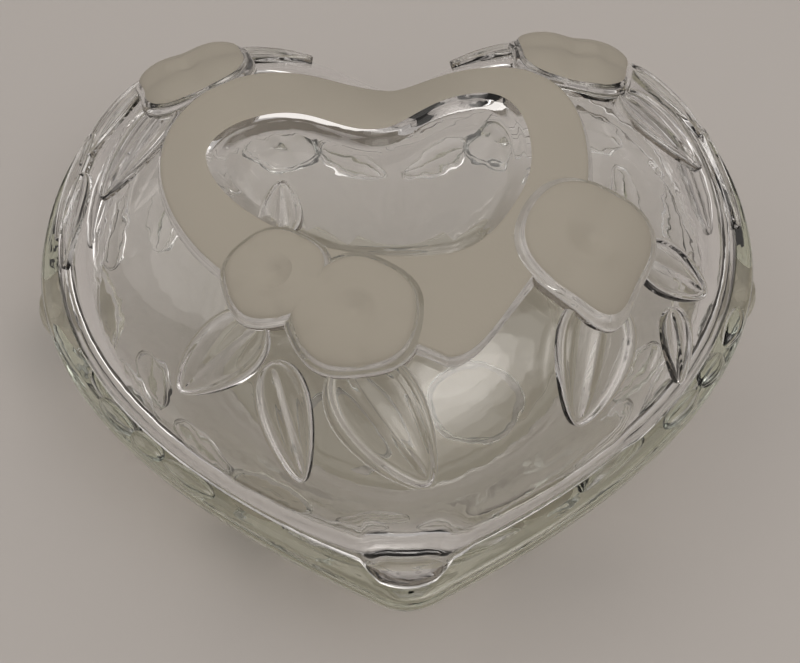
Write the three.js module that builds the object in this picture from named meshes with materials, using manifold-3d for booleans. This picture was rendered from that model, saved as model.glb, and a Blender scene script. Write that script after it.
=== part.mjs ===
// A heart-shaped trinket box in pressed glass: a bowl-like dish and a loose domed lid.
// Millimetres, +Z up. The origin is the middle of the flat foot, and the heart's tip points to -Y.

import * as THREE from 'three';
import { mergeVertices } from 'three/addons/utils/BufferGeometryUtils.js';
import Module from 'manifold-3d';

const wasm = await Module();
wasm.setup();

// ---- Driving dimensions -------------------------------------------------------------------

// The heart, seen from above, at the dish's rim.
const HALF_WIDTH = 75;
const WIDEST_Y = 14;
const LOBE_X = 38;
const LOBE_TOP_Y = 64;
const CLEFT_Y = 49;
const TIP_Y = -65;
const TIP_HALF_WIDTH = 7;
const TIP_RISE = 2.4;
const CENTRE = new THREE.Vector2(0, 6);
const OUTLINE_STEPS = 64;

// Further in, the heart softens: a rounder tip and a slightly shallower cleft.
const SOFT_TIP_Y = -57;
const SOFT_TIP_HANDLE = 34;
const SOFT_CLEFT_Y = 51;

// The dish. A share is a fraction of the rim's heart, measured from CENTRE.
const RIM_Z = 38;
const RIM_INNER_SHARE = 0.91;
const FOOT_SHARE = 0.6;
const FLOOR_SHARE = 0.5;
const FLOOR_Z = 6.5;
const WALL_LEAN = 33;

// The lid.
const SEAT_GAP = 0.3;
const LID_SHARE = 0.94;
const TAB_SHARE = 0.97;
const TAB_HALF_WIDTH = 7.5;
const LID_EDGE_HEIGHT = 3;
const DOME_HEIGHT = 27.5;
const DOME_ROWS = 9;
const LIP_OUTER_SHARE = 0.89;
const LIP_INNER_SHARE = 0.85;
const LIP_DEPTH = 3.8;
const CROWN_WALL = 5;

// The moulded decoration stands this far off the glass.
const BAND_RELIEF = 1.6;
const LEAF_RELIEF = 1.2;
const ROSE_RELIEF = 4.2;

// Roses on the lid: place of the middle, and radius.
const LID_ROSES = [
  { x: -23, y: -11, radius: 10 },
  { x: -8, y: -18, radius: 11.5 },
  { x: 36, y: -4, radius: 12 },
  { x: -42, y: 43, radius: 11.5 },
  { x: 37, y: 44, radius: 12 },
];

// Leaves on the lid: where the stalk end is, where the tip is, and the width.
const LID_LEAVES = [
  { from: [-24, -20], to: [-42, -28], width: 12 },
  { from: [-22, -25], to: [-22, -46], width: 10 },
  { from: [-9, -27], to: [2, -50], width: 15 },
  { from: [46, 2], to: [60, -5], width: 9 },
  { from: [33, -14], to: [36, -36], width: 11 },
  { from: [47, -12], to: [54, -27], width: 6 },
  { from: [-48, 34], to: [-63, 18], width: 9 },
  { from: [-33, 50], to: [-16, 46], width: 7 },
  { from: [27, 52], to: [11, 47], width: 7 },
  { from: [47, 38], to: [66, 26], width: 9 },
];

// Roses on the dish's wall: direction from CENTRE in degrees, height, length along the rim,
// height of the flower and how far it stands out.
const DISH_ROSES = [
  { direction: 0, z: 26, length: 23, height: 18, relief: 6.2 },
  { direction: 180, z: 26, length: 23, height: 18, relief: 6.2 },
  { direction: 236, z: 16, length: 20, height: 16, relief: 3 },
  { direction: 302, z: 16, length: 20, height: 16, relief: 3 },
  { direction: 62, z: 20, length: 20, height: 16, relief: 4.6 },
  { direction: 118, z: 20, length: 20, height: 16, relief: 4.6 },
];

// ---- Materials ----------------------------------------------------------------------------

const lidGlass = new THREE.MeshStandardMaterial({ color: 0xd9dad4, roughness: 0.12, metalness: 0 });
const dishGlass = new THREE.MeshStandardMaterial({ color: 0xcdd2c8, roughness: 0.1, metalness: 0 });

// ---- The heart ----------------------------------------------------------------------------

// From the widest place round the lobe to the cleft.
function addLobe(half, cleftY) {
  half.bezierCurveTo(HALF_WIDTH, 42, 61, LOBE_TOP_Y, LOBE_X, LOBE_TOP_Y);
  half.bezierCurveTo(18, LOBE_TOP_Y, 8, cleftY, 0, cleftY);
}

// The right half from the tip to the cleft, with a small rounded point.
function sharpHalf() {
  const half = new THREE.Path();
  half.moveTo(0, TIP_Y);
  half.quadraticCurveTo(TIP_HALF_WIDTH / 2, TIP_Y, TIP_HALF_WIDTH, TIP_Y + TIP_RISE);
  half.bezierCurveTo(60, -36, HALF_WIDTH, -8, HALF_WIDTH, WIDEST_Y);
  addLobe(half, CLEFT_Y);
  return half;
}

function softHalf() {
  const half = new THREE.Path();
  half.moveTo(0, SOFT_TIP_Y);
  half.bezierCurveTo(SOFT_TIP_HANDLE, SOFT_TIP_Y, HALF_WIDTH, -20, HALF_WIDTH, WIDEST_Y);
  addLobe(half, SOFT_CLEFT_Y);
  return half;
}

// Evenly spaced points all the way round, the left half mirroring the right one.
function wholeOutline(half) {
  const right = half.getSpacedPoints(OUTLINE_STEPS / 2);
  const left = right.slice(1, -1).reverse();
  return [...right, ...left.map((point) => new THREE.Vector2(-point.x, point.y))];
}

const OUTLINE = wholeOutline(sharpHalf());
const SOFT_OUTLINE = wholeOutline(softHalf());

// The point at a share of the way from CENTRE to the rim, in the direction of one outline step.
function heartPoint(step, share) {
  const sharp = OUTLINE[step % OUTLINE_STEPS];
  const soft = SOFT_OUTLINE[step % OUTLINE_STEPS];
  return soft.clone().lerp(sharp, share ** 3).sub(CENTRE).multiplyScalar(share).add(CENTRE);
}

// A profile is a list of points (share of the heart, height). It is turned round the axis as on
// a lathe, and each ring is then stretched out to the heart.
function heartTurned(profile) {
  const geometry = new THREE.LatheGeometry(profile, OUTLINE_STEPS);
  const position = geometry.attributes.position;
  for (let step = 0; step <= OUTLINE_STEPS; step += 1) {
    profile.forEach((point, row) => {
      const place = heartPoint(step, point.x);
      position.setXYZ(step * profile.length + row, place.x, place.y, point.y);
    });
  }
  return geometry;
}

// Height above the dome's edge at a share of the way out: steep at the skirt, broad on top.
function crownRise(share) {
  return (1 - share ** 3) ** 0.62;
}

// Profile of a dome from its edge to its middle, rows closer together near the edge.
function domeProfile(edgeShare, edgeZ, height) {
  const points = [];
  for (let row = 0; row <= DOME_ROWS; row += 1) {
    const share = Math.cos((row / DOME_ROWS) * (Math.PI / 2)) ** 0.7;
    const x = row === DOME_ROWS ? 0 : edgeShare * share;
    points.push(new THREE.Vector2(x, edgeZ + height * crownRise(share)));
  }
  return points;
}

// ---- Solids -------------------------------------------------------------------------------

// Merges the shared vertices, drops the slivers at poles and makes a solid for the booleans.
function solid(geometry, matrix = new THREE.Matrix4()) {
  const copy = geometry.clone().applyMatrix4(matrix);
  copy.deleteAttribute('normal');
  copy.deleteAttribute('uv');
  const merged = mergeVertices(copy, 1e-4);
  const corners = [];
  for (let i = 0; i < merged.index.count; i += 3) {
    const [a, b, c] = [0, 1, 2].map((k) => merged.index.getX(i + k));
    if (a !== b && b !== c && c !== a) {
      corners.push(a, b, c);
    }
  }
  const vertices = new Float32Array(merged.attributes.position.array);
  const triangles = new Uint32Array(corners);
  return new wasm.Manifold(new wasm.Mesh({ numProp: 3, vertProperties: vertices, triVerts: triangles }));
}

function meshFromSolid(body, name, material) {
  const data = body.getMesh();
  const geometry = new THREE.BufferGeometry();
  geometry.setAttribute('position', new THREE.BufferAttribute(data.vertProperties, 3));
  geometry.setIndex(new THREE.BufferAttribute(data.triVerts, 1));
  geometry.computeVertexNormals();
  const mesh = new THREE.Mesh(geometry, material);
  mesh.name = name;
  return mesh;
}

function joined(bodies) {
  return bodies.reduce((sum, body) => sum.add(body));
}

// An upright prism of a flat shape, tall enough to pass through the whole lid.
function uprightPrism(shape, curveSegments) {
  const geometry = new THREE.ExtrudeGeometry(shape, {
    depth: 2 * RIM_Z,
    bevelEnabled: false,
    curveSegments,
  });
  return solid(geometry, new THREE.Matrix4().makeTranslation(0, 0, RIM_Z + LID_EDGE_HEIGHT));
}

// ---- Decoration ---------------------------------------------------------------------------

// The raised heart-shaped band leans over: its tip is well to the right of its cleft.
function bandShape() {
  const band = new THREE.Shape();
  band.moveTo(-5, 33);
  band.bezierCurveTo(-12, 33, -16, 38, -26, 38);
  band.bezierCurveTo(-38, 38, -46, 29, -46, 18);
  band.bezierCurveTo(-46, 6, -38, -6, -28, -13);
  band.bezierCurveTo(-14, -22, 0, -24, 8, -28);
  band.bezierCurveTo(14, -28, 18, -20, 26, -10);
  band.bezierCurveTo(33, -3, 37, 5, 37, 16);
  band.bezierCurveTo(37, 30, 32, 38, 21, 38);
  band.bezierCurveTo(10, 38, 4, 33, -5, 33);
  const window = new THREE.Path();
  window.moveTo(-5, 21);
  window.bezierCurveTo(-12, 21, -16, 27, -25, 26);
  window.bezierCurveTo(-33, 25, -37, 21, -37, 17);
  window.bezierCurveTo(-36, 8, -26, -1, -14, -6);
  window.bezierCurveTo(-4, -9, 6, -9, 12, -6);
  window.bezierCurveTo(20, 0, 26, 8, 26, 16);
  window.bezierCurveTo(26, 26, 22, 31, 16, 30);
  window.bezierCurveTo(6, 29, 2, 21, -5, 21);
  band.holes.push(window);
  return band;
}

function roseShape({ x, y, radius }) {
  const shape = new THREE.Shape();
  shape.absarc(x, y, radius, 0, 2 * Math.PI, false);
  return shape;
}

// A pointed oval between two ends.
function leafShape({ from, to, width }) {
  const start = new THREE.Vector2(...from);
  const end = new THREE.Vector2(...to);
  const along = end.clone().sub(start);
  const across = new THREE.Vector2(-along.y, along.x).normalize();
  const swell = (side, share) => start.clone()
    .addScaledVector(along, share)
    .addScaledVector(across, side * width * 0.62);
  const curve = (side, first, second, goal) => {
    const [p, q] = [swell(side, first), swell(side, second)];
    shape.bezierCurveTo(p.x, p.y, q.x, q.y, goal.x, goal.y);
  };
  const shape = new THREE.Shape();
  shape.moveTo(start.x, start.y);
  curve(1, 0.15, 0.7, end);
  curve(-1, 0.7, 0.15, start);
  return shape;
}

// The outline step that lies nearest to a direction from CENTRE.
function stepInDirection(degrees) {
  const angle = THREE.MathUtils.degToRad(degrees);
  const towards = new THREE.Vector2(Math.cos(angle), Math.sin(angle));
  const turns = OUTLINE.map((point) => point.clone().sub(CENTRE).angleTo(towards));
  return turns.indexOf(Math.min(...turns));
}

// A rose on the dish's wall is a flattened ball, sunk half-way into the leaning wall.
function dishRose({ direction, z, length, height, relief }) {
  const place = heartPoint(stepInDirection(direction), outerWallShare(z));
  const ball = new THREE.SphereGeometry(1, 14, 8);
  const lean = THREE.MathUtils.degToRad(WALL_LEAN);
  const matrix = new THREE.Matrix4().makeTranslation(place.x, place.y, z)
    .multiply(new THREE.Matrix4().makeRotationZ(THREE.MathUtils.degToRad(direction)))
    .multiply(new THREE.Matrix4().makeRotationY(lean))
    .multiply(new THREE.Matrix4().makeScale(relief, length / 2, height / 2));
  return solid(ball, matrix);
}

// ---- The dish -----------------------------------------------------------------------------

// The bowl's outer wall, from the foot to the rim, as (share, height).
function outerWall() {
  const wall = new THREE.Path();
  wall.moveTo(FOOT_SHARE, 0);
  wall.bezierCurveTo(0.7, 3, 0.9, 22, 1, RIM_Z - 3);
  return wall;
}

function outerWallShare(z) {
  const points = outerWall().getPoints(60);
  return points.find((point) => point.y >= z).x;
}

function dishOuter() {
  const wall = outerWall().getPoints(8);
  const shoulder = [new THREE.Vector2(0.99, RIM_Z), new THREE.Vector2(0, RIM_Z)];
  return solid(heartTurned([new THREE.Vector2(0, 0), ...wall, ...shoulder]));
}

function dishHollow() {
  const hollow = new THREE.Path();
  hollow.moveTo(0, FLOOR_Z);
  hollow.lineTo(FLOOR_SHARE, FLOOR_Z);
  hollow.bezierCurveTo(0.62, FLOOR_Z + 1, 0.8, 22, RIM_INNER_SHARE, RIM_Z - 4);
  hollow.lineTo(RIM_INNER_SHARE, RIM_Z + 1);
  hollow.lineTo(0, RIM_Z + 1);
  return solid(heartTurned(hollow.getPoints(7)));
}

function makeDish() {
  const body = joined([dishOuter(), ...DISH_ROSES.map(dishRose)]).subtract(dishHollow());
  return meshFromSolid(body, 'dish', dishGlass);
}

// ---- The lid ------------------------------------------------------------------------------

const LID_SEAT_Z = RIM_Z + SEAT_GAP;
const DOME_EDGE_Z = LID_SEAT_Z + LID_EDGE_HEIGHT;

// The lid's outside, with the lip that drops inside the dish's rim and keeps the lid in place.
function lidOuter(relief = 0) {
  const lip = [
    new THREE.Vector2(0, LID_SEAT_Z - LIP_DEPTH),
    new THREE.Vector2(LIP_OUTER_SHARE, LID_SEAT_Z - LIP_DEPTH),
    new THREE.Vector2(LIP_OUTER_SHARE, LID_SEAT_Z),
    new THREE.Vector2(LID_SHARE, LID_SEAT_Z),
  ];
  return solid(heartTurned([...lip, ...domeProfile(LID_SHARE, DOME_EDGE_Z + relief, DOME_HEIGHT)]));
}

function lidHollow() {
  const mouth = [
    new THREE.Vector2(0, LID_SEAT_Z - LIP_DEPTH - 1),
    new THREE.Vector2(LIP_INNER_SHARE, LID_SEAT_Z - LIP_DEPTH - 1),
  ];
  const height = DOME_HEIGHT + LID_EDGE_HEIGHT - CROWN_WALL;
  return solid(heartTurned([...mouth, ...domeProfile(LIP_INNER_SHARE, LID_SEAT_Z, height)]));
}

// Each kind of decoration is a set of upright prisms, trimmed by the dome raised by its relief.
function lidDecoration() {
  const band = uprightPrism(bandShape(), 6).intersect(lidOuter(BAND_RELIEF));
  const leaves = joined(LID_LEAVES.map((leaf) => uprightPrism(leafShape(leaf), 5)));
  const roses = joined(LID_ROSES.map((rose) => uprightPrism(roseShape(rose), 9)));
  return [band, leaves.intersect(lidOuter(LEAF_RELIEF)), roses.intersect(lidOuter(ROSE_RELIEF))];
}

// A rounded tab at the tip, to lift the lid by.
function lidTab() {
  const tip = heartPoint(0, TAB_SHARE).y;
  const root = heartPoint(0, LID_SHARE - 0.12).y;
  const shape = new THREE.Shape();
  shape.moveTo(-TAB_HALF_WIDTH, root);
  shape.quadraticCurveTo(-TAB_HALF_WIDTH, tip, 0, tip);
  shape.quadraticCurveTo(TAB_HALF_WIDTH, tip, TAB_HALF_WIDTH, root);
  const geometry = new THREE.ExtrudeGeometry(shape, {
    depth: LID_EDGE_HEIGHT,
    bevelEnabled: false,
    curveSegments: 6,
  });
  return solid(geometry, new THREE.Matrix4().makeTranslation(0, 0, LID_SEAT_Z));
}

function makeLid() {
  const body = joined([lidOuter(), lidTab(), ...lidDecoration()]).subtract(lidHollow());
  return meshFromSolid(body, 'lid', lidGlass);
}

// ---- The box ------------------------------------------------------------------------------

const box = new THREE.Group();
box.add(makeDish(), makeLid());

export default box;
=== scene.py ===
# %% [markdown]
# # A heart-shaped trinket box in pressed glass
# The real box is two glass castings: a deep heart-shaped dish, and a domed lid that rests on its rim.
# Molten glass was pressed into an iron mould, so the heart band, the roses and the leaves are one
# with the glass that they stand on. Afterwards the band and the roses were etched in acid, which
# leaves them satin, while everything else kept the bright skin of fire-polished glass.
#
# Clear glass hides nothing: light crosses the outer skin, the inner skin and everything below.
# So each casting has to be one closed body with a true wall, and each motif has to be part of it.

import math

import bmesh
import bpy
from mathutils import Matrix, Vector
from mathutils.bvhtree import BVHTree
from mathutils.geometry import interpolate_bezier
from mathutils.interpolate import poly_3d_calc


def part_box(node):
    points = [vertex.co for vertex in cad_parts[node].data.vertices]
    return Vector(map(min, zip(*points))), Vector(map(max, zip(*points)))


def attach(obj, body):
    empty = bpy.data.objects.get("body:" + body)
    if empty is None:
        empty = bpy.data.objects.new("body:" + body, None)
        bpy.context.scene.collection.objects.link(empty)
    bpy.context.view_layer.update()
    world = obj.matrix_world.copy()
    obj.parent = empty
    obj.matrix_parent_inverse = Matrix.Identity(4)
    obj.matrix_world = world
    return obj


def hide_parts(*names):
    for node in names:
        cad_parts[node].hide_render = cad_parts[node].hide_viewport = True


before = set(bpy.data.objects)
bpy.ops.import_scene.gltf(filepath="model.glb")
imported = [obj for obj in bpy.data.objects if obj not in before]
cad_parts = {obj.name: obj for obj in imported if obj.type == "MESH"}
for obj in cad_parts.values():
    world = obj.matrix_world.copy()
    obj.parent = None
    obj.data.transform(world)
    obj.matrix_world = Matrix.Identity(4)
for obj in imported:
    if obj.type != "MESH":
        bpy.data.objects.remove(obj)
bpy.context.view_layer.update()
MM = 0.001
dish_low, dish_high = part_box("dish")
lid_low, lid_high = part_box("lid")
RIM_Z = dish_high.z
for node, low, high in (("dish", dish_low, dish_high), ("lid", lid_low, lid_high)):
    print(node, [round(v / MM, 1) for v in high - low], "mm")

# %% [markdown]
# ## The heart
# Both castings follow one heart. Half of it is drawn as curves with handles, from the tip round the
# lobe to the cleft, and the other half is its mirror image. The rim has a small crisp tip. Further
# in, the heart softens, as glass does when it is pressed: the tip gets round and the cleft shallow.
# A "share" says how far out a ring lies: 0 is the middle, and 1 is the dish's rim.

# %% Two half hearts, and a ring at any share
HALF_WIDTH = 75
WIDEST_Y = 14
LOBE_TOP_Y = 64
TIP_Y = -65
SOFT_TIP_Y = -57
CLEFT_Y = 49
SOFT_CLEFT_Y = 51
CENTRE = Vector((0, 6 * MM, 0))
HEART_STEPS = 240
CURVE_STEPS = 200


def millimetres(x, y):
    return Vector((x * MM, y * MM, 0))


def curve(start, leave, arrive, end, count):
    """Points of one Bezier curve between two places given in millimetres."""
    return interpolate_bezier(*[millimetres(*knot) for knot in (start, leave, arrive, end)], count)


def half_heart(knots):
    """Evenly spaced points along a half heart. Each knot is (handle in, point, handle out)."""
    path = []
    for (_, start, leave), (arrive, end, _) in zip(knots, knots[1:]):
        path += curve(start, leave, arrive, end, CURVE_STEPS)
    lengths = [0.0]
    for a, b in zip(path, path[1:]):
        lengths.append(lengths[-1] + (b - a).length)
    points = []
    at = 0
    for step in range(HEART_STEPS // 2 + 1):
        goal = lengths[-1] * step / (HEART_STEPS // 2)
        while at < len(lengths) - 1 and lengths[at] < goal:
            at += 1
        points.append(path[at].copy())
    return points


def whole_heart(knots):
    right = half_heart(knots)
    left = [Vector((-p.x, p.y, 0)) for p in reversed(right[1:-1])]
    return right + left


def lobe_knots(below_widest, cleft_y):
    """From the widest place round the lobe to the cleft."""
    return [
        ((HALF_WIDTH, below_widest), (HALF_WIDTH, WIDEST_Y), (HALF_WIDTH, 42)),
        ((61, LOBE_TOP_Y), (38, LOBE_TOP_Y), (18, LOBE_TOP_Y)),
        ((8, cleft_y), (0, cleft_y), None),
    ]


crisp_tip = [(None, (0, TIP_Y), (2.3, TIP_Y)), ((4.7, -64.2), (7, -62.6), (60, -36))]
round_tip = [(None, (0, SOFT_TIP_Y), (34, SOFT_TIP_Y))]
SHARP_HEART = whole_heart(crisp_tip + lobe_knots(-8, CLEFT_Y))
SOFT_HEART = whole_heart(round_tip + lobe_knots(-20, SOFT_CLEFT_Y))


def heart_point(step, share, z):
    """A point at a step round the heart, a share of the way out, at height z in metres."""
    step = step % HEART_STEPS
    corner = SOFT_HEART[step].lerp(SHARP_HEART[step], share**3)
    point = CENTRE + (corner - CENTRE) * share
    return Vector((point.x, point.y, z))


print("heart", HEART_STEPS, "points round,", TIP_Y, "to", LOBE_TOP_Y, "mm")

# %% [markdown]
# ## The two finishes of the glass
# The glass is soda-lime, as nearly all pressed glass is: index 1.52, clear, with a green cast that
# only shows where the light has a long way to go. Its skin came out of an iron mould, so it is
# bright but faintly wavy. The satin parts are the same glass under a fine matt etch.

# %% Colours and a helper for nodes
def linear(hex_colour):
    """An sRGB hex colour as linear red, green, blue and alpha."""
    parts = [int(hex_colour[i : i + 2], 16) / 255 for i in (1, 3, 5)]
    return [c / 12.92 if c <= 0.04045 else ((c + 0.055) / 1.055) ** 2.4 for c in parts] + [1.0]


def add_node(tree, kind, settings=(), links=()):
    """Adds a node. settings are (name, value) pairs, and links are (input name, source socket)."""
    node = tree.nodes.new(kind)
    for name, value in settings:
        if name in node.inputs:
            node.inputs[name].default_value = value
        else:
            setattr(node, name, value)
    for name, source in links:
        tree.links.new(source, node.inputs[name])
    return node


def let_light_through(tree, glass, volume, passed):
    """Finishes a glass: light that is only filling shadows goes straight through it."""
    path = add_node(tree, "ShaderNodeLightPath")
    filling = add_node(
        tree,
        "ShaderNodeMath",
        [("operation", "MAXIMUM")],
        [(0, path.outputs["Is Shadow Ray"]), (1, path.outputs["Is Diffuse Ray"])],
    )
    straight = add_node(tree, "ShaderNodeBsdfTransparent", [("Color", linear(passed))])
    mix = add_node(
        tree,
        "ShaderNodeMixShader",
        links=[("Fac", filling.outputs[0]), (1, glass), (2, straight.outputs[0])],
    )
    add_node(tree, "ShaderNodeOutputMaterial", links=[("Surface", mix.outputs[0]), ("Volume", volume)])


def new_material(name):
    material = bpy.data.materials.new(name)
    material.use_nodes = True
    material.node_tree.nodes.clear()
    return material, material.node_tree


# %% Clear and satin-etched soda-lime glass
GLASS_IOR = 1.52


def pressed_glass(name, noise, bump, skin, body):
    """noise, bump and skin hold settings of their nodes. body is (tint, density, passed)."""
    material, tree = new_material(name)
    tint, density, passed = body
    place = add_node(tree, "ShaderNodeTexCoord")
    waves = add_node(tree, "ShaderNodeTexNoise", noise, [("Vector", place.outputs["Object"])])
    relief = add_node(tree, "ShaderNodeBump", bump, [("Height", waves.outputs["Fac"])])
    skin = skin + [("IOR", GLASS_IOR)]
    glass = add_node(tree, "ShaderNodeBsdfPrincipled", skin, [("Normal", relief.outputs["Normal"])])
    depth = add_node(tree, "ShaderNodeVolumeAbsorption", [("Color", linear(tint)), ("Density", density)])
    let_light_through(tree, glass.outputs["BSDF"], depth.outputs["Volume"], passed)
    return material


def clear_glass(name, body):
    """Bright, with the faint waves that the mould leaves."""
    waves = [("Scale", 60.0), ("Detail", 3.0), ("Roughness", 0.55)]
    bump = [("Strength", 0.4), ("Distance", 0.0006)]
    skin = [("Base Color", linear("#FFFFFF")), ("Roughness", 0.015), ("Transmission Weight", 1.0)]
    return pressed_glass(name, waves, bump, skin, body)


def satin_glass(name, body):
    """Matt and half white, because the etch scatters light in a fine grit."""
    grit = [("Scale", 1500.0), ("Detail", 3.0), ("Roughness", 0.6)]
    bump = [("Strength", 0.12), ("Distance", 0.0002)]
    skin = [("Base Color", linear("#C9C2B3")), ("Roughness", 0.7), ("Transmission Weight", 0.5)]
    return pressed_glass(name, grit, bump, skin, body)


# Tint, density of the tint, and the colour of the light that gets through.
LID_BODY = ("#DDDADA", 5.0, "#FCFCFC")
DISH_BODY = ("#CFDDCA", 8.0, "#EEECE8")
LID_FINISHES = (
    clear_glass("soda_lime_glass_fire_polished", LID_BODY),
    satin_glass("soda_lime_glass_satin_etched", LID_BODY),
)
DISH_FINISHES = (
    clear_glass("green_soda_lime_glass_fire_polished", DISH_BODY),
    satin_glass("green_soda_lime_glass_satin_etched", DISH_BODY),
)
print("finishes", [finish.name for finish in LID_FINISHES + DISH_FINISHES])

# %% [markdown]
# ## One way to make every body
# A ring of points is added and extruded again and again, and each new ring goes to its place on the
# cross-section, as clay is drawn up on a wheel. Where the section ends in a point or meets its own
# start, the doubled points are merged, which closes the body. This gives clean quads all the way.
# Clear glass needs that, because every kink in the mesh bends what is seen through it.

# %% Draw a closed body ring by ring
CLEAR = 0
SATIN = 1
MERGE_WITHIN = 0.002 * MM


def drawn_in_rings(name, columns, rings, place, finishes, satin_rows=()):
    """A closed body. place(column, ring) gives each point. Row n lies between rings n and n + 1."""
    bpy.ops.object.select_all(action="DESELECT")
    bpy.ops.mesh.primitive_circle_add(vertices=columns, radius=0.01, fill_type="NOTHING")
    piece = bpy.context.object
    piece.name = piece.data.name = name
    for finish in finishes:
        piece.data.materials.append(finish)
    bpy.ops.object.mode_set(mode="EDIT")
    bpy.ops.mesh.select_all(action="SELECT")
    mesh = bmesh.from_edit_mesh(piece.data)
    column = mesh.verts.layers.int.new("column")
    for number, vertex in enumerate(mesh.verts):
        vertex[column] = number
        vertex.co = place(number, 0)
    for ring in range(1, rings):
        bpy.ops.mesh.extrude_region_move()
        mesh = bmesh.from_edit_mesh(piece.data)
        column = mesh.verts.layers.int["column"]
        for vertex in [v for v in mesh.verts if v.select]:
            vertex.co = place(vertex[column], ring)
            for face in vertex.link_faces:
                face.material_index = SATIN if ring - 1 in satin_rows else CLEAR
    bpy.ops.mesh.select_all(action="SELECT")
    bpy.ops.mesh.remove_doubles(threshold=MERGE_WITHIN)
    bpy.ops.mesh.normals_make_consistent(inside=False)
    bpy.ops.object.mode_set(mode="OBJECT")
    piece.data.attributes.remove(piece.data.attributes["column"])
    return piece


def heart_turned(name, profile, finishes, satin_rows=(), swell=None):
    """Draws a profile of (share, height) round the heart. swell(column, share) widens it."""

    def place(column, ring):
        share, z = profile[ring]
        return heart_point(column, share + (swell(column, share) if swell else 0), z)

    return drawn_in_rings(name, HEART_STEPS, len(profile), place, finishes, satin_rows)


def bezier_profile(start, leave, arrive, end, count):
    """Points of a profile curve without its first point."""
    knots = [Vector((share, z * MM, 0)) for share, z in (start, leave, arrive, end)]
    return [(p.x, p.y) for p in interpolate_bezier(*knots, count + 1)][1:]


def straight_profile(start, end, count):
    """Points of a straight stretch of a profile without its first point."""
    (a, za), (b, zb) = start, end
    parts = [i / count for i in range(1, count + 1)]
    return [(a + (b - a) * part, (za + (zb - za) * part) * MM) for part in parts]


# %% [markdown]
# ## The dish
# A deep bowl on a flat foot ring with a shallow hollow inside it. The wall leans out from the foot
# to the rim. It is 8 to 9 mm thick near the foot and about 5 mm below the rim, because pressed glass
# is thick, and thins to about 3 mm at the cleft, where the heart is drawn in. Its edges are rounded
# by fire polishing. The profile runs from the middle of the base, up the outside and down the inside.

# %% Roll the dish
RIM = RIM_Z / MM
BASE_HOLLOW = 2.0
HOLLOW_SHARE = 0.47
FOOT_INSIDE = 0.53
FOOT_OUTSIDE = 0.57
FOOT_TOP = (0.635, 0.95)
WALL_TOP = (0.998, RIM - 3.4)
INNER_SHARE = 0.91
INNER_TOP = (INNER_SHARE, RIM - 1.8)
INNER_BEND = (INNER_SHARE, RIM - 4.6)
FLOOR_EDGE = (0.49, 6.5)
FLOOR_MIDDLE = (0, 6.2)
dish_profile = [(0, BASE_HOLLOW * MM)]
dish_profile += straight_profile((0, BASE_HOLLOW), (HOLLOW_SHARE, BASE_HOLLOW), 7)
hollow_edge = (HOLLOW_SHARE, BASE_HOLLOW)
dish_profile += bezier_profile(hollow_edge, (0.5, BASE_HOLLOW), (0.5, 0), (FOOT_INSIDE, 0), 4)
dish_profile += straight_profile((FOOT_INSIDE, 0), (FOOT_OUTSIDE, 0), 2)
foot_rows = range(len(dish_profile) - 1)
dish_profile += bezier_profile((FOOT_OUTSIDE, 0), (0.60, 0), (0.61, 0.2), FOOT_TOP, 4)
dish_profile += bezier_profile(FOOT_TOP, (0.72, 3.6), (0.90, 22), WALL_TOP, 20)
dish_profile += bezier_profile(WALL_TOP, (1.003, RIM - 0.9), (0.995, RIM), (0.972, RIM), 6)
dish_profile += bezier_profile((0.972, RIM), (0.95, RIM), (0.94, RIM), (0.925, RIM), 2)
dish_profile += bezier_profile((0.925, RIM), (0.912, RIM), (INNER_SHARE, RIM - 0.6), INNER_TOP, 4)
dish_profile += straight_profile(INNER_TOP, INNER_BEND, 2)
dish_profile += bezier_profile(INNER_BEND, (0.80, 22), (0.62, 7.5), FLOOR_EDGE, 20)
dish_profile += straight_profile(FLOOR_EDGE, FLOOR_MIDDLE, 8)
dish = heart_turned("dish_glass", dish_profile, DISH_FINISHES, satin_rows=foot_rows)
print("dish has", len(dish.data.polygons), "faces")

# %% [markdown]
# ## The lid
# A shallow pillow: steep at the skirt and broad on top. A lip under its edge drops inside the
# dish's rim, so it can't slide off. Its edge is rounded, and swells into a small tab at the tip,
# where a finger lifts it. The profile runs from the top of the inside down round the lip.

# %% Roll the lid
SEAT = RIM + 0.3
LID_SHARE = 0.94
EDGE = SEAT + 3.0
DOME_HEIGHT = 27.5
CROWN_WALL = 5.0
LIP_BOTTOM = SEAT - 3.8
LIP_INSIDE = 0.85
LIP_OUTSIDE = 0.89
DOME_ROWS = 34
TAB_HALF_WIDTH = 7.5
TAB_SWELL = 0.03
SIDE_STEP = 0.012
SWELL_FROM = 0.87


def crown_rise(share):
    """Height above the dome's edge, as a part of the whole, at a share of the way out."""
    return max(0.0, 1 - share**3) ** 0.62


def dome_profile(edge_share, edge_z, height, rows):
    """From the edge up to the middle, with rows closer together at the steep skirt."""
    points = []
    for row in range(1, rows + 1):
        share = math.cos(row / rows * math.pi / 2) ** 0.72 if row < rows else 0.0
        points.append((edge_share * share, (edge_z + height * crown_rise(share)) * MM))
    return points


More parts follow.
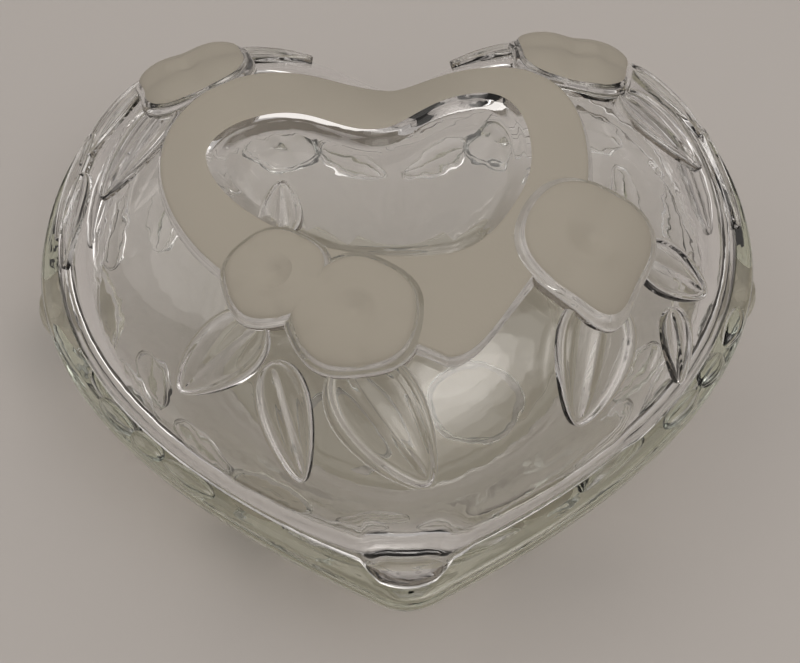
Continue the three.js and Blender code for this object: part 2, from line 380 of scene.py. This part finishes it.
inner_height = EDGE + DOME_HEIGHT - CROWN_WALL - SEAT
lid_profile = list(reversed(dome_profile(LIP_INSIDE, SEAT, inner_height, DOME_ROWS)))
lid_profile += [(LIP_INSIDE, SEAT * MM), (LIP_INSIDE, (SEAT - 1.5) * MM)]
lip_start = (LIP_INSIDE, SEAT - 1.5)
lip_middle = (0.87, LIP_BOTTOM)
lip_end = (LIP_OUTSIDE, SEAT - 2)
lid_profile += bezier_profile(lip_start, (LIP_INSIDE, LIP_BOTTOM), (0.855, LIP_BOTTOM), lip_middle, 4)
lid_profile += bezier_profile(lip_middle, (0.885, LIP_BOTTOM), (LIP_OUTSIDE, LIP_BOTTOM), lip_end, 4)
lid_profile += [(LIP_OUTSIDE, (SEAT - 0.5) * MM), (0.892, SEAT * MM), (0.91, SEAT * MM)]
edge_start = (0.91, SEAT)
edge_end = (LID_SHARE, SEAT + 1.5)
lid_profile += bezier_profile(edge_start, (0.935, SEAT), (LID_SHARE, SEAT + 0.4), edge_end, 4)
lid_profile += [(LID_SHARE, EDGE * MM)]
lid_profile += dome_profile(LID_SHARE, EDGE, DOME_HEIGHT, DOME_ROWS)
half_length = sum((b - a).length for a, b in zip(SHARP_HEART, SHARP_HEART[1 : HEART_STEPS // 2]))
STEP_LENGTH = 2 * half_length / MM / HEART_STEPS


def smooth_step(value):
    """0 below 0, 1 above 1, and a soft S between them."""
    value = min(1, max(0, value))
    return value * value * (3 - 2 * value)


def lid_swell(column, share):
    """The finger tab at the tip, and the small step in the edge on its right, in shares."""
    if share < SWELL_FROM:
        return 0
    from_tip = min(column, HEART_STEPS - column) * STEP_LENGTH
    swell = TAB_SWELL * smooth_step((TAB_HALF_WIDTH + 2.2 - from_tip) / 4.4)
    if column < HEART_STEPS / 2:
        swell -= SIDE_STEP * smooth_step((58 - from_tip) / 6) * smooth_step((from_tip - 10) / 6)
    return swell * smooth_step((share - SWELL_FROM) / 0.06)


lid = heart_turned("lid_glass", lid_profile, LID_FINISHES, swell=lid_swell)
print("lid has", len(lid.data.polygons), "faces")

# %% [markdown]
# ## Laying a motif on the glass
# Motifs are modelled flat, round the origin, with z as the height above the glass. Then each point
# is dropped onto the casting along the surface's normal at the motif's middle, and lifted off it by
# its own height. It keeps its section and takes the curve of the dome, as a cut mould would give it.

# %% Drop a flat motif onto a curved skin
REACH = 0.2
HOVER = 30 * MM
DROP = 40 * MM


class Skin:
    """The surface of a casting as it was before any motif was added."""

    def __init__(self, casting):
        mesh = casting.data
        self.points = [v.co.copy() for v in mesh.vertices]
        self.normals = [v.normal.copy() for v in mesh.vertices]
        self.faces = [tuple(p.vertices) for p in mesh.polygons]
        self.tree = BVHTree.FromPolygons(self.points, self.faces)

    def meet(self, start, towards, reach=REACH):
        """Where a ray meets the skin within its reach, and the smooth normal there."""
        place, _, face, _ = self.tree.ray_cast(start, towards, reach)
        if place is None:
            place, _, face, _ = self.tree.find_nearest(start + towards * HOVER)
        corners = self.faces[face]
        weights = poly_3d_calc([self.points[i] for i in corners], place)
        normal = sum((self.normals[i] * w for i, w in zip(corners, weights)), Vector())
        return place, normal.normalized()


def lay_on(piece, skin, start, towards, turn):
    """start and towards aim at the motif's place, and turn is its heading in degrees."""
    middle, normal = skin.meet(start, towards)
    ahead, aside = Vector((1, 0, 0)), Vector((0, 1, 0))
    if abs(towards.z) < 0.9:
        ahead = Vector((0, 0, 1)).cross(normal).normalized()
        aside = normal.cross(ahead)
    heading = ahead * math.cos(math.radians(turn)) + aside * math.sin(math.radians(turn))
    along = (heading - normal * heading.dot(normal)).normalized()
    across = normal.cross(along)
    for vertex in piece.data.vertices:
        x, y, z = vertex.co
        above = middle + along * x + across * y + normal * HOVER
        foot, lift = skin.meet(above, -normal, DROP)
        vertex.co = foot + lift * z
    piece.data.update()
    return piece


GROUND_OFF = 0.3
DOWN = Vector((0, 0, -1))
lid_skin = Skin(lid)
dish_skin = Skin(dish)


def on_lid(piece, x, y, turn=0.0):
    return lay_on(piece, lid_skin, Vector((x * MM, y * MM, REACH)), DOWN, turn)


def outward(direction):
    """A level direction, in degrees, away from the heart's centre."""
    return Vector((math.cos(math.radians(direction)), math.sin(math.radians(direction)), 0))


def wall_at(direction, z):
    """The dish's wall and its normal in a direction, at a height in mm."""
    out = outward(direction)
    return dish_skin.meet(CENTRE + out * 0.15 + Vector((0, 0, z * MM)), -out)


def on_dish(piece, direction, z, turn=0.0):
    wall, _ = wall_at(direction, z)
    out = outward(direction)
    return lay_on(piece, dish_skin, wall + out * 0.02, -out, turn)


def on_rim(piece, direction, inset):
    """The motif lies along the rim's flat top, inset in mm from the outside."""
    wall, away = wall_at(direction, RIM - 2)
    away = Vector((away.x, away.y, 0)).normalized()
    above = wall - away * inset * MM + Vector((0, 0, 0.1))
    return lay_on(piece, dish_skin, above, DOWN, math.degrees(math.atan2(away.x, -away.y)))


def under_dish(piece, x, y):
    """The motif hangs in the hollow of the base and is ground off just above the foot."""
    lay_on(piece, dish_skin, Vector((x * MM, y * MM, -0.05)), -DOWN, 0)
    for vertex in piece.data.vertices:
        vertex.co.z = max(vertex.co.z, GROUND_OFF * MM)
    return piece


print("skins of", len(lid_skin.faces), "and", len(dish_skin.faces), "faces")


# %% [markdown]
# ## The raised heart band
# A flat satin ribbon that runs round as a leaning heart, wide at the front and narrow at the right
# lobe. Its sides slope and stay clear, so it shows as a matt ribbon between two bright lines.

# %% Model the band
SINK = -2.0
band_outer = [  # (handle in, point, handle out), from the cleft round the left lobe
    ((4, 33), (-5, 33), (-12, 33)),
    ((-16, 38), (-26, 38), (-38, 38)),
    ((-46, 29), (-46, 18), (-46, 6)),
    ((-38, -6), (-28, -13), (-14, -22)),
    ((0, -24), (8, -28), (14, -28)),
    ((18, -20), (26, -10), (33, -3)),
    ((37, 5), (37, 16), (37, 30)),
    ((32, 38), (21, 38), (10, 38)),
]
band_inner = [
    ((2, 21), (-5, 21), (-12, 21)),
    ((-16, 27), (-25, 26), (-33, 25)),
    ((-37, 21), (-37, 17), (-36, 8)),
    ((-26, -1), (-14, -6), (-4, -9)),
    ((3, -9), (9, -8), (14, -7)),
    ((17, -4), (20, 0), (24, 6)),
    ((26, 10), (26, 16), (26, 26)),
    ((22, 31), (16, 30), (6, 29)),
]


def closed_path(knots, steps_each):
    """Points of a closed curve, the same number on every stretch."""
    path = []
    for (_, start, leave), (arrive, end, _) in zip(knots, knots[1:] + knots[:1]):
        path += curve(start, leave, arrive, end, steps_each + 1)[:-1]
    return path


BAND_EACH = 26
outer_path = closed_path(band_outer, BAND_EACH)
inner_path = closed_path(band_inner, BAND_EACH)
BAND_TOP = 2.05
across_parts = [k / 8 for k in range(1, 8)]
# The section runs from the outer side (0) over the top to the inner side (1) and back below the
# glass. Each point is (part of the way across, mm further across, height in mm).
band_section = [(0, -1.3, SINK), (0, -1.3, 0.0), (0, -0.9, 0.6), (0, -0.55, 0.8), (0, -0.2, 1.5)]
band_section += [(0, 0.2, 1.95), (0, 0.7, BAND_TOP)]
band_section += [(part, 0, BAND_TOP) for part in across_parts]
band_section += [(1, -0.4, BAND_TOP), (1, 0.1, 1.9), (1, 0.8, 1.3), (1, 1.4, 1.1), (1, 2.2, 0.75)]
band_section += [(1, 3.0, 0.25), (1, 3.6, 0.0), (1, 3.6, SINK)]
band_section += [(1 - part, 0, SINK) for part in across_parts]
band_section += [(0, -1.3, SINK)]
BAND_SATIN_ROWS = range(5, 15)


def band_place(column, ring):
    part, inset, z = band_section[ring]
    outer = outer_path[column]
    inner = inner_path[column]
    across = (inner - outer).normalized()
    point = outer.lerp(inner, part) + across * inset * MM
    return Vector((point.x, point.y, z * MM))


columns = len(outer_path)
rings = len(band_section)
band = drawn_in_rings("band", columns, rings, band_place, LID_FINISHES, BAND_SATIN_ROWS)
on_lid(band, 0, 0)
print("band has", len(band.data.polygons), "faces")

# %% [markdown]
# ## The roses
# A rose seen from above is a low mound of soft petals. Its clear sides step down to the glass, which
# draws two bright lines round it, and acid took the shine off the petals only. An open rose is
# nearly flat, with a dimple and a turned ridge. A full rose bulges in a few big petals, so it shows
# in the outline of the box. A shield rose has one petal drawn out to a point. One recipe makes all
# three. The section is given as (share of the radius, height in mm), from below the glass outwards,
# up the side and in over the petals.

# %% Model the three roses
ROSE_RADIUS = 12.0
ROSE_STEPS = 96
rose_section = [(0, SINK), (0.55, SINK), (1.0, SINK), (1.0, 0.0), (0.992, 1.1), (0.975, 1.9)]
rose_section += [(0.945, 2.25), (0.91, 2.4), (0.885, 2.65), (0.865, 3.05), (0.84, 3.4), (0.815, 3.62)]
rose_section += [(0.78, 3.8), (0.73, 3.95), (0.67, 4.05), (0.6, 4.12), (0.53, 4.16), (0.46, 4.18)]
rose_section += [(0.39, 4.18), (0.32, 4.16), (0.25, 4.1), (0.19, 4.02), (0.13, 3.93), (0.07, 3.87)]
rose_section += [(0, 3.85)]
FIRST_SATIN_ROW = 10


def gentle(value, width):
    """A soft bump: 1 at 0, and gone beyond about twice the width."""
    return math.exp(-((value / width) ** 2))


def modelled_rose(name, petals, scallop, bulge, pointed=0.0):
    """petals round a scalloped edge, with a bulge in mm on each, and one pointed if asked."""

    def place(column, ring):
        share, z = rose_section[ring]
        angle = column / ROSE_STEPS * 2 * math.pi
        edge = 1 + scallop * (math.cos(petals * angle) + 0.5 * math.cos(3 * angle + 1.0)) * share
        from_point = min(angle, 2 * math.pi - angle)
        edge += pointed * gentle(from_point, 0.36) * smooth_step((share - 0.5) / 0.4)
        radius = ROSE_RADIUS * share * edge
        if ring >= FIRST_SATIN_ROW:
            petal = 0.5 + 0.5 * math.cos(petals * angle)
            z -= 0.3 * (1 - petal) ** 5 * smooth_step((share - 0.45) / 0.3)
            z += bulge * (petal - 0.3) * gentle(share - 0.55, 0.25)
            ridge = smooth_step(0.5 + 0.9 * math.cos(angle + 0.9))
            z += 0.5 * ridge * gentle(share - 0.34, 0.07) - 0.75 * gentle(share, 0.13)
        return Vector((radius * math.cos(angle), radius * math.sin(angle), z)) * MM

    satin_rows = range(FIRST_SATIN_ROW, len(rose_section))
    return drawn_in_rings(name, ROSE_STEPS, len(rose_section), place, LID_FINISHES, satin_rows)


open_rose = modelled_rose("open_rose", petals=5, scallop=0.025, bulge=0.0)
full_rose = modelled_rose("full_rose", petals=4, scallop=0.085, bulge=1.0)
shield_rose = modelled_rose("shield_rose", petals=4, scallop=0.035, bulge=0.35, pointed=0.22)
print("a rose has", len(open_rose.data.polygons), "faces")

# %% [markdown]
# ## The leaf
# A pointed shape with a rounded border, a rib down the middle and a hollow on each side. All of it
# stays clear, so it only shows by how it bends the light: each hollow works as a small lens.
# The rings shrink from the outline onto the rib. Wide, narrow and short leaves are scaled from it.

# %% Model one leaf
LEAF_LENGTH = 20.0
LEAF_WIDTH = 12.0
LEAF_STEPS = 80
leaf_section = [(1, SINK), (0.5, SINK), (0, SINK), (0, 0.0), (0.02, 0.6), (0.05, 1.1), (0.09, 1.4)]
leaf_section += [(0.14, 1.5), (0.2, 1.5), (0.25, 1.36), (0.29, 1.08), (0.34, 0.86), (0.42, 0.74)]
leaf_section += [(0.52, 0.7), (0.64, 0.7), (0.76, 0.76), (0.86, 0.92), (0.94, 1.16), (1, 1.28)]


def leaf_outline(turn):
    """The stalk end is at -x and the sharper tip is at +x. It is widest before the middle."""
    x = -math.cos(turn)
    swell = math.sin(turn)
    width = swell * (1 - 0.32 * x) * 0.95
    return Vector((x * LEAF_LENGTH / 2, width * LEAF_WIDTH / 2, 0))


def leaf_place(column, ring):
    """A share of 0 lies on the outline and 1 on the rib."""
    share, z = leaf_section[ring]
    edge = leaf_outline(column / LEAF_STEPS * 2 * math.pi)
    rib = Vector((edge.x * 0.82, 0.05 * edge.x, 0))
    point = edge.lerp(rib, share)
    return Vector((point.x, point.y, z)) * MM


leaf = drawn_in_rings("leaf", LEAF_STEPS, len(leaf_section), leaf_place, LID_FINISHES)
print("leaf has", len(leaf.data.polygons), "faces")

# %% [markdown]
# ## The bead
# A small clear dome. Drawn out into ovals, it makes the closed buds that lie along the dish's rim.

# %% Model one bead
BEAD_RADIUS = 4.0
BEAD_STEPS = 48
bead_section = [(0, SINK), (0.5, SINK), (1, SINK), (1, 0.0), (0.985, 0.5), (0.94, 1.05), (0.87, 1.55)]
bead_section += [(0.77, 2.0), (0.64, 2.4), (0.48, 2.7), (0.3, 2.9), (0.12, 3.0), (0, 3.02)]


def bead_place(column, ring):
    share, z = bead_section[ring]
    angle = column / BEAD_STEPS * 2 * math.pi
    radius = BEAD_RADIUS * share
    return Vector((radius * math.cos(angle), radius * math.sin(angle), z)) * MM


bead = drawn_in_rings("bead", BEAD_STEPS, len(bead_section), bead_place, LID_FINISHES)
print("bead has", len(bead.data.polygons), "faces")

# %% [markdown]
# ## Arranging the flowers
# Three roses sit on the band and one on each back lobe, with leaves round them that run down
# the shoulders. On the dish they stand on the wall and under the base, and show through the lid.
# Places are in millimetres on the lid, and directions in degrees round the heart's centre on the
# dish, where 270 is the tip. The dish's two back roses are left clear.

# %% Where the motifs stand
LID_ROSES = [  # model, x, y, radius, turn, squash
    (open_rose, -23, -11, 10.8, 20, 0.95),
    (open_rose, -8.5, -19.5, 13.2, 95, 0.93),
    (shield_rose, 35, -4, 14.2, 284, 0.98),
    (full_rose, -41.5, 42.8, 13.3, 150, 0.9),
    (full_rose, 37, 43.8, 13.8, 40, 0.88),
]
LID_LEAVES = [  # stalk end, tip, width
    ((-25, -18), (-43, -29), 14),
    ((-22, -25), (-21, -48), 11),
    ((-10, -26), (3, -51), 18),
    ((44, -3), (61, -9), 12),
    ((37, -13), (34, -38), 17),
    ((49, -12), (57, -25), 8),
    ((-23, -3), (-22, 10), 9),
    ((-44, 36), (-60, 15), 13),
    ((-52, 48), (-66, 28), 10),
    ((-62, 36), (-71, 12), 9),
    ((-62, 24), (-69, 4), 8),
    ((-35, 50), (-17, 46), 8),
    ((28, 50), (12, 45), 8),
    ((45, 35), (63, 21), 12),
    ((49, 47), (66, 34), 10),
    ((64, 36), (72, 13), 10),
]
DISH_ROSES = [  # model, direction, height, half length, half height, relief
    (full_rose, 0, 26, 11, 8.5, 0.91),
    (full_rose, 180, 26, 11, 8.5, 0.91),
    (open_rose, 302, 16, 10, 8.5, 0.6),
    (open_rose, 236, 16, 10, 8.5, 0.6),
    (full_rose, 62, 20, 10, 8.5, 0.8),
    (full_rose, 118, 20, 10, 8.5, 0.8),
]
BASE_ROSES = [(-12, -14, 12, 20), (17, -7, 11, 130), (-1, 14, 10, 250)]  # x, y, radius, turn
DISH_LEAVES = [  # direction, height, turn, length, width
    (341, 24, 175, 20, 11),
    (346, 13, 200, 18, 10),
    (18, 25, 10, 20, 11),
    (30, 16, 30, 20, 10),
    (162, 25, 170, 20, 11),
    (150, 16, 150, 20, 10),
    (194, 15, 20, 18, 10),
    (200, 24, 5, 20, 11),
    (216, 17, 10, 20, 11),
    (255, 20, 175, 22, 11),
    (262, 11, 150, 18, 10),
    (284, 20, 10, 22, 11),
    (318, 22, 170, 20, 11),
    (328, 14, 190, 20, 10),
    (45, 24, 175, 18, 10),
    (78, 22, 5, 18, 10),
    (102, 22, 175, 18, 10),
    (135, 24, 5, 18, 10),
]
RIM_BUDS = [  # direction, half length, half width
    (208.5, 5.6, 2.0),
    (216.5, 4.4, 2.1),
    (226.5, 6.6, 2.0),
    (330, 5.6, 2.0),
    (339.5, 4.6, 2.1),
    (349, 5.0, 2.0),
]
print(len(LID_ROSES) + len(LID_LEAVES), "motifs for the lid")

# %% [markdown]
# ## Laying them down
# Each motif is a copy of its model with a mesh of its own, stretched to its size before it is laid
# on the glass. The dish's motifs are kept lower, so that such a casting can slide out of its mould.
# The buds on the rim reach a little further in than they should: where they stand, they cut up to
# 0.3 mm into the lid's edge. A BUD_INSET of about 2.0 would clear it.

# %% Lay the copies on both castings
LOBE_RELIEF = 0.8
BASE_ROSE_RELIEF = 0.42
DISH_LEAF_RELIEF = 0.8
BUD_RELIEF = 0.55
BUD_INSET = 2.4
BACK_STARTS = 30
BACK_ENDS = 150


def copied(source, name, size, turn=0.0, finishes=LID_FINISHES):
    """A copy turned about its middle and then scaled by size along x, y and z."""
    piece = source.copy()
    piece.data = source.data.copy()
    piece.name = piece.data.name = name
    for slot, finish in enumerate(finishes):
        piece.data.materials[slot] = finish
    bpy.context.scene.collection.objects.link(piece)
    piece.data.transform(Matrix.Diagonal((*size, 1)) @ Matrix.Rotation(math.radians(turn), 4, "Z"))
    return piece


def left_clear(piece):
    piece.data.polygons.foreach_set("material_index", [CLEAR] * len(piece.data.polygons))


lid_motifs = [band]
for number, (model, x, y, radius, turn, squash) in enumerate(LID_ROSES):
    scale = radius / ROSE_RADIUS
    relief = LOBE_RELIEF if model is full_rose else 1.0
    piece = copied(model, f"lid_rose_{number}", (scale, scale * squash, relief), turn)
    lid_motifs.append(on_lid(piece, x, y))
for number, (stalk, tip, width) in enumerate(LID_LEAVES):
    run = Vector(tip) - Vector(stalk)
    middle = (Vector(tip) + Vector(stalk)) / 2
    heading = math.degrees(math.atan2(run.y, run.x))
    piece = copied(leaf, f"lid_leaf_{number}", (run.length / LEAF_LENGTH, width / LEAF_WIDTH, 1))
    lid_motifs.append(on_lid(piece, middle.x, middle.y, heading))
dish_motifs = []
for number, (model, direction, z, length, height, relief) in enumerate(DISH_ROSES):
    size = (length / ROSE_RADIUS, height / ROSE_RADIUS, relief)
    piece = copied(model, f"dish_rose_{number}", size, finishes=DISH_FINISHES)
    if BACK_STARTS < direction < BACK_ENDS:
        left_clear(piece)
    dish_motifs.append(on_dish(piece, direction, z))
for number, (x, y, radius, turn) in enumerate(BASE_ROSES):
    size = (radius / ROSE_RADIUS, radius / ROSE_RADIUS, BASE_ROSE_RELIEF)
    piece = copied(open_rose, f"base_rose_{number}", size, turn, DISH_FINISHES)
    dish_motifs.append(under_dish(piece, x, y))
for number, (direction, z, turn, length, width) in enumerate(DISH_LEAVES):
    size = (length / LEAF_LENGTH, width / LEAF_WIDTH, DISH_LEAF_RELIEF)
    piece = copied(leaf, f"dish_leaf_{number}", size, finishes=DISH_FINISHES)
    dish_motifs.append(on_dish(piece, direction, z, turn))
for number, (direction, length, width) in enumerate(RIM_BUDS):
    size = (length / BEAD_RADIUS, width / BEAD_RADIUS, BUD_RELIEF)
    piece = copied(bead, f"rim_bud_{number}", size, finishes=DISH_FINISHES)
    dish_motifs.append(on_rim(piece, direction, BUD_INSET))
print(len(lid_motifs), "motifs on the lid,", len(dish_motifs), "on the dish")

# %% [markdown]
# ## One glass body each
# The motifs reach 2 mm into the wall, and a Boolean union melts each one into its casting. Nothing
# is left inside the glass, so light crosses it as it crosses one solid piece.

# %% Unite each casting with its motifs
SMOOTH_BELOW = 38.0


def melted(piece, other):
    """Unites two closed bodies into the first, and takes the second away."""
    bpy.ops.object.select_all(action="DESELECT")
    bpy.context.view_layer.objects.active = piece
    piece.select_set(True)
    bpy.ops.object.modifier_add(type="BOOLEAN")
    union = piece.modifiers[-1]
    union.operation = "UNION"
    union.solver = "MANIFOLD"
    union.object = other
    bpy.ops.object.modifier_apply(modifier=union.name)
    bpy.data.objects.remove(other)
    return piece


def melted_together(pieces):
    """Melts small pieces in pairs first, then the pairs, because small unions are quick."""
    while len(pieces) > 1:
        pairs = [melted(*pieces[i : i + 2]) for i in range(0, len(pieces) - 1, 2)]
        pieces = pairs + pieces[len(pairs) * 2 :]
    return pieces[0]


for casting, motifs in ((lid, lid_motifs), (dish, dish_motifs)):
    melted(casting, melted_together(motifs))
    bpy.ops.object.shade_smooth_by_angle(angle=math.radians(SMOOTH_BELOW))
for source in (open_rose, full_rose, shield_rose, leaf, bead):
    bpy.data.objects.remove(source)
for casting in (lid, dish):
    satin = sum(1 for face in casting.data.polygons if face.material_index == SATIN)
    print(casting.name, "has", len(casting.data.polygons), "faces,", satin, "of them satin")

# %% [markdown]
# ## Joining the looks to the frame
# The dish stands still, and the lid is loose and lifts straight off it. Each casting is the whole
# of its node, because its band, roses and leaves are one glass with it.

# %% Each casting rides on its body and stands for its node
for casting, node in ((lid, "lid"), (dish, "dish")):
    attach(casting, node)
    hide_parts(node)
    print(casting.name, "rides on", node)

# %% [markdown]
# ## The studio
# A plain pale floor and broad soft light. Glass shows what is round it, so the sky is brighter
# above than at the horizon, which draws the grey lines along its edges.

# %% The floor and the sky
FLOOR_SIZE = 6
FLOOR_GAP = 0.0002
bpy.ops.object.select_all(action="DESELECT")
bpy.ops.mesh.primitive_plane_add(size=FLOOR_SIZE, location=(0, 0, -FLOOR_GAP))
floor = bpy.context.object
floor.name = "floor"
bpy.ops.object.transform_apply(location=True)
paper, tree = new_material("painted_board_matt")
board = add_node(tree, "ShaderNodeBsdfPrincipled", [("Base Color", linear("#B6B2AF")), ("Roughness", 0.9)])
add_node(tree, "ShaderNodeOutputMaterial", links=[("Surface", board.outputs["BSDF"])])
floor.data.materials.append(paper)

world = bpy.data.worlds.new("soft_room")
bpy.context.scene.world = world
world.use_nodes = True
tree = world.node_tree
tree.nodes.clear()
place = add_node(tree, "ShaderNodeTexCoord")
parts = add_node(tree, "ShaderNodeSeparateXYZ", links=[("Vector", place.outputs["Generated"])])
ramp = add_node(tree, "ShaderNodeValToRGB", links=[("Fac", parts.outputs["Z"])])
ramp.color_ramp.elements[0].position = 0.0
ramp.color_ramp.elements[0].color = linear("#A8A09A")
ramp.color_ramp.elements[1].position = 0.75
ramp.color_ramp.elements[1].color = linear("#E9E4E0")
sky = add_node(tree, "ShaderNodeBackground", [("Strength", 0.6)], [("Color", ramp.outputs["Color"])])
add_node(tree, "ShaderNodeOutputWorld", links=[("Surface", sky.outputs["Background"])])
print("floor and sky ready")

# %% [markdown]
# The window is three discs, one behind the other and each wider than the last, so that its
# reflection on the front of the dome fades out towards the edge, as a real window's does behind a
# thin curtain. Two weaker discs stand for the walls and the ceiling of the room.

# %% Soft lights
LAMP_COLOUR = "#FFFAF4"
SOFTBOXES = [  # name, place, size, watts
    ("window_middle", (0.28, -0.27, 0.85), 0.32, 0.45),
    ("window_edge", (0.281, -0.271, 0.853), 0.52, 0.85),
    ("window_glow", (0.282, -0.272, 0.856), 0.76, 1.3),
    ("room", (-0.8, 0.35, 0.85), 1.0, 2.4),
    ("ceiling", (0.1, 0.75, 1.05), 1.3, 2.2),
]


def softbox(name, place, size, watts):
    """A round lamp that faces the box."""
    light = bpy.data.lights.new(name, "AREA")
    light.shape = "DISK"
    light.size = size
    light.energy = watts
    light.color = linear(LAMP_COLOUR)[:3]
    lamp = bpy.data.objects.new(name, light)
    bpy.context.scene.collection.objects.link(lamp)
    lamp.location = place
    lamp.rotation_euler = (-Vector(place)).to_track_quat("-Z", "Y").to_euler()


for name, place, size, watts in SOFTBOXES:
    softbox(name, place, size, watts)
print(len(SOFTBOXES), "lamps")

# %% [markdown]
# The box is seen from above and in front, as it stands on a table. A line of sight crosses four
# skins of glass on its way to the floor and is mirrored between them, so it needs many bounces.

# %% The camera
VIEW_AZIMUTH = -1.5
VIEW_ELEVATION = 60.0
VIEW_DISTANCE = 0.33
VIEW_ANGLE = 27.8
AIM_Y = -0.006
LIGHT_BOUNCES = 24
camera_data = bpy.data.cameras.new("camera")
camera_data.angle = math.radians(VIEW_ANGLE)
camera = bpy.data.objects.new("camera", camera_data)
bpy.context.scene.collection.objects.link(camera)
azimuth = math.radians(VIEW_AZIMUTH)
elevation = math.radians(VIEW_ELEVATION)
level = Vector((math.sin(azimuth), -math.cos(azimuth), 0)) * math.cos(elevation)
back = level + Vector((0, 0, math.sin(elevation)))
camera.location = Vector((0, AIM_Y, RIM_Z)) + back * VIEW_DISTANCE
camera.rotation_euler = back.to_track_quat("Z", "Y").to_euler()
bpy.context.scene.camera = camera
bpy.context.scene.cycles.max_bounces = LIGHT_BOUNCES
bpy.context.scene.cycles.transmission_bounces = LIGHT_BOUNCES
bpy.context.scene.view_settings.view_transform = "Standard"
print("camera", VIEW_ELEVATION, "degrees up")
